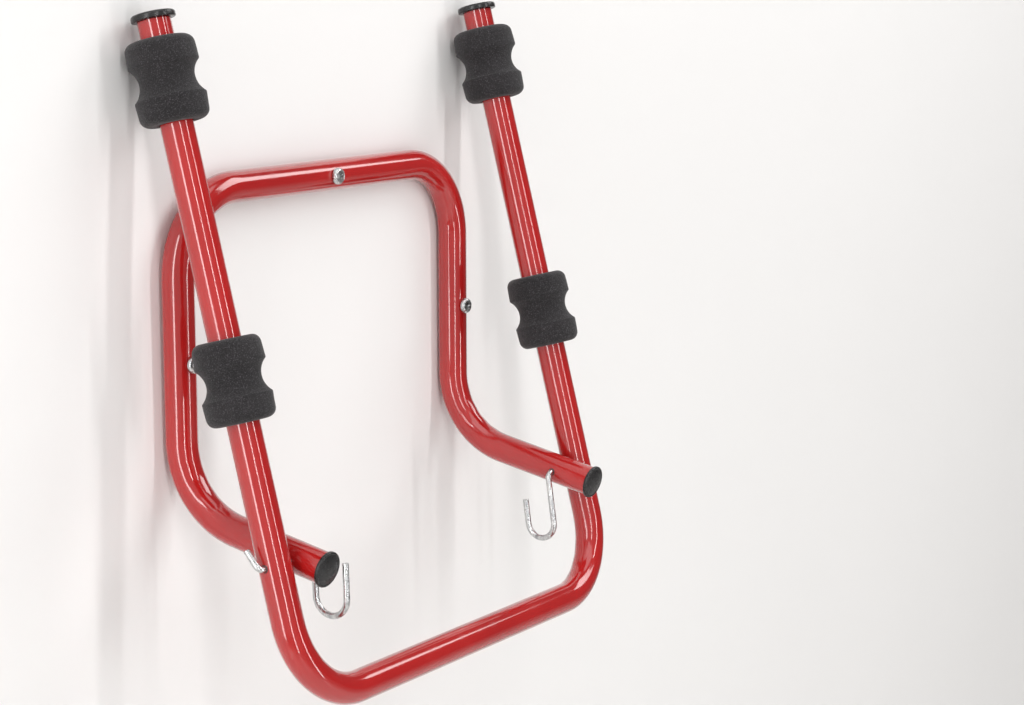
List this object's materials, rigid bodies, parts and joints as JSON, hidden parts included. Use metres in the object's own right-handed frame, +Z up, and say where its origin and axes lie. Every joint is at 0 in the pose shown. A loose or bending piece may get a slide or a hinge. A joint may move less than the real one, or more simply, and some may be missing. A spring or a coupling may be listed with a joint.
{
  "type": "folding wall bike rack",
  "caption": "Wall rack for bicycles: a bent steel tube frame screwed to the wall, with a tube frame that folds out on two pivots, grooved foam pads on its arms and rod hooks at the pivots.",
  "frame": {"origin": "on the wall surface, on the axis of the top screw through the middle of the top bar", "axes": "+Z up, +Y into the wall, +X to the right seen from the front"},
  "size_m": [0.4756, 0.2127, 0.5173],
  "materials": {
    "red_paint": "gloss",
    "black_foam": "matte",
    "black_plastic": "satin",
    "zinc_plate": "satin",
    "nylon": "satin"
  },
  "bodies": {
    "wall_frame": {"wall_frame_tube": "red_paint", "leg_plug_left": "black_plastic", "leg_plug_right": "black_plastic", "top_screw": "zinc_plate", "leg_left_screw": "zinc_plate", "leg_right_screw": "zinc_plate", "top_wall_plug": "nylon", "leg_left_wall_plug": "nylon", "leg_right_wall_plug": "nylon"},
    "arm_frame": {"arm_frame_tube": "red_paint", "arm_cap_left": "black_plastic", "arm_cap_right": "black_plastic", "pad_lower_left": "black_foam", "pad_lower_right": "black_foam", "pad_upper_left": "black_foam", "pad_upper_right": "black_foam"},
    "hook_left": {"hook_left": "zinc_plate"},
    "hook_right": {"hook_right": "zinc_plate"}
  },
  "joints": [
    {"name": "arm_fold", "type": "hinge", "parent": "wall_frame", "child": "arm_frame", "pos_m": [0, -0.12298, -0.26393], "axis": [1, 0, 0], "range_deg": [0, 103]},
    {"name": "hook_left_swing", "type": "hinge", "parent": "wall_frame", "child": "hook_left", "pos_m": [-0.183, -0.12298, -0.26393], "axis": [1, 0, 0], "continuous": true},
    {"name": "hook_right_swing", "type": "hinge", "parent": "wall_frame", "child": "hook_right", "pos_m": [0.183, -0.12298, -0.26393], "axis": [1, 0, 0], "continuous": true}
  ]
}
